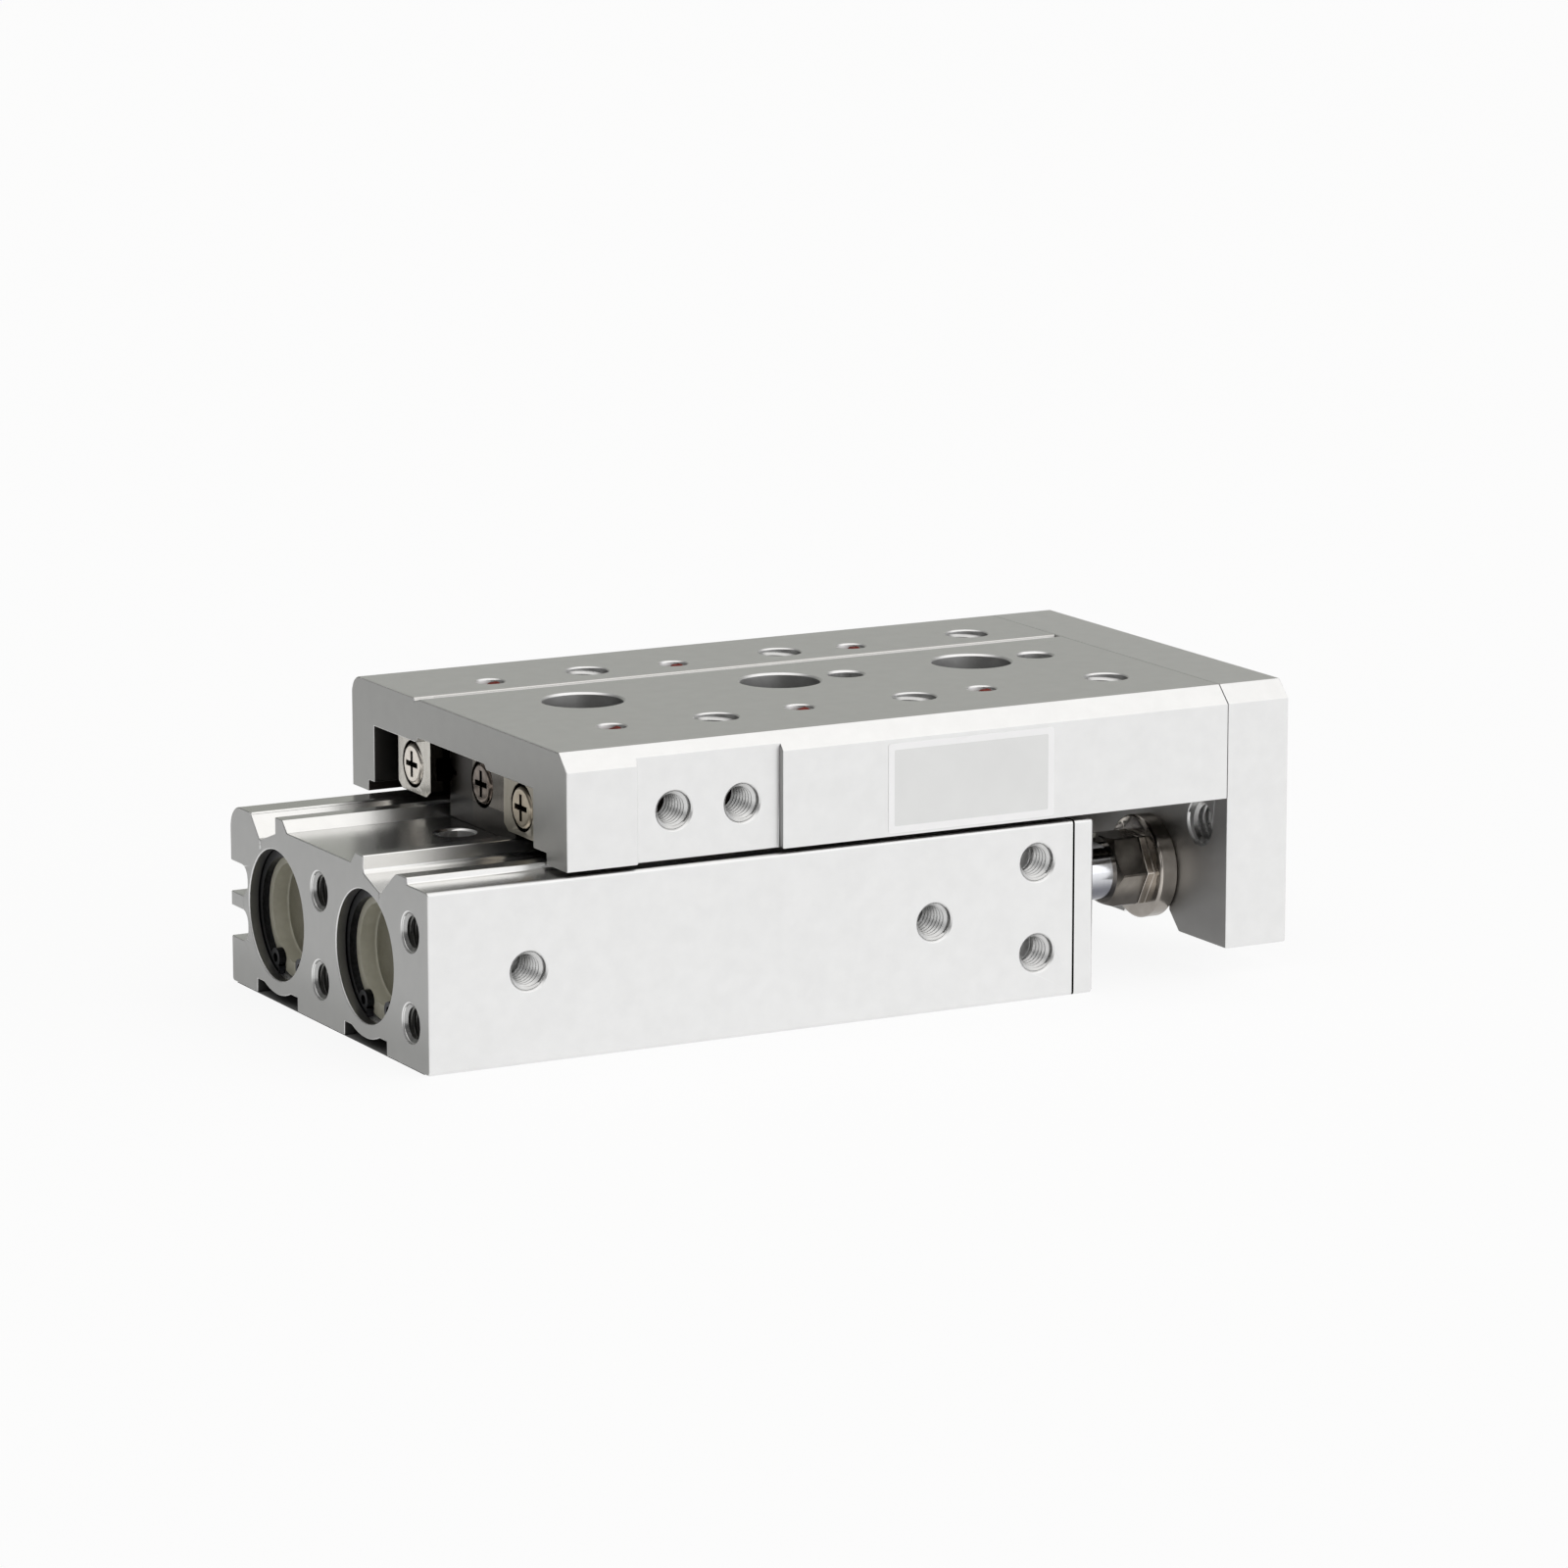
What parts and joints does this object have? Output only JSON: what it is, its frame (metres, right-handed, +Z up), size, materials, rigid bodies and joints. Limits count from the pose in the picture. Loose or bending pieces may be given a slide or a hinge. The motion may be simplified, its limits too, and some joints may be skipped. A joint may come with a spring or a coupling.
{
  "type": "pneumatic slide table",
  "caption": "Low pneumatic slide table: an air cylinder body carries a flat table on crossed-roller rails, and the piston rods drive an end plate on the table's front.",
  "frame": {"origin": "base face of the body, on the axis of the middle mounting hole", "axes": "+X along the stroke towards the end plate, +Z up through the table, -Y towards the side with the air ports"},
  "size_m": [0.1295, 0.0657, 0.04],
  "materials": {
    "anodised_aluminium": "satin clear anodised, brushed along the stroke",
    "turned_aluminium": "turned",
    "seal_rubber": "smooth black rubber",
    "cap_resin": "olive grey moulded resin",
    "spring_steel_black": "black oxide, lightly oiled",
    "magnet_compound": "bonded magnet compound",
    "bearing_bronze": "sintered bronze",
    "chromed_rod": "hard chromed and polished",
    "ground_rail_steel": "hardened and ground, nickel tint",
    "roller_steel": "polished bearing steel",
    "cage_steel": "stamped steel strip",
    "nickel_plated_steel": "nickel plated, slightly warm",
    "screw_steel": "dark screw steel"
  },
  "bodies": {
    "housing": {"centre_rail": "ground_rail_steel", "centre_rail_end_screws": "nickel_plated_steel", "centre_rail_screws": "screw_steel", "cylinder_body": "anodised_aluminium", "far_head_cap": "cap_resin", "far_head_cap_o_ring": "seal_rubber", "far_head_retaining_ring": "spring_steel_black", "far_rod_bushing": "bearing_bronze", "far_rod_cover": "turned_aluminium", "far_rod_cover_front_o_ring": "seal_rubber", "far_rod_cover_rear_o_ring": "seal_rubber", "far_rod_cover_retaining_ring": "spring_steel_black", "far_rod_seal": "seal_rubber", "front_cover": "anodised_aluminium", "front_cover_screws": "screw_steel", "near_head_cap": "cap_resin", "near_head_cap_o_ring": "seal_rubber", "near_head_retaining_ring": "spring_steel_black", "near_rod_bushing": "bearing_bronze", "near_rod_cover": "turned_aluminium", "near_rod_cover_front_o_ring": "seal_rubber", "near_rod_cover_rear_o_ring": "seal_rubber", "near_rod_cover_retaining_ring": "spring_steel_black", "near_rod_seal": "seal_rubber"},
    "carriage": {"end_plate": "anodised_aluminium", "end_plate_bolts": "screw_steel", "far_floating_bush": "nickel_plated_steel", "far_front_bumper": "seal_rubber", "far_guide_rail": "ground_rail_steel", "far_piston": "turned_aluminium", "far_piston_magnet": "magnet_compound", "far_piston_rod": "chromed_rod", "far_piston_seal": "seal_rubber", "far_rear_bumper": "seal_rubber", "far_rod_nut": "nickel_plated_steel", "guide_rail_end_screws": "nickel_plated_steel", "guide_rail_screws": "screw_steel", "near_floating_bush": "nickel_plated_steel", "near_front_bumper": "seal_rubber", "near_guide_rail": "ground_rail_steel", "near_piston": "turned_aluminium", "near_piston_rod": "chromed_rod", "near_piston_seal": "seal_rubber", "near_rear_bumper": "seal_rubber", "near_rod_nut": "nickel_plated_steel", "preload_screws": "screw_steel", "rod_end_screws": "screw_steel", "rod_end_washers": "nickel_plated_steel", "table": "anodised_aluminium"},
    "near_cage_unit": {"near_roller_cage": "cage_steel", "near_rollers": "roller_steel"},
    "far_cage_unit": {"far_roller_cage": "cage_steel", "far_rollers": "roller_steel"}
  },
  "joints": [
    {"name": "table_slide", "type": "slide", "parent": "housing", "child": "carriage", "axis": [1, 0, 0], "range_m": [-0.019, 0.031]},
    {"name": "near_cage_slide", "type": "slide", "parent": "housing", "child": "near_cage_unit", "axis": [1, 0, 0], "range_m": [-0.0095, 0.0155]},
    {"name": "far_cage_slide", "type": "slide", "parent": "housing", "child": "far_cage_unit", "axis": [1, 0, 0], "range_m": [-0.0095, 0.0155]}
  ],
  "couplings": [
    {"joint": "near_cage_slide", "follows": "table_slide", "ratio": 0.5},
    {"joint": "far_cage_slide", "follows": "table_slide", "ratio": 0.5}
  ]
}
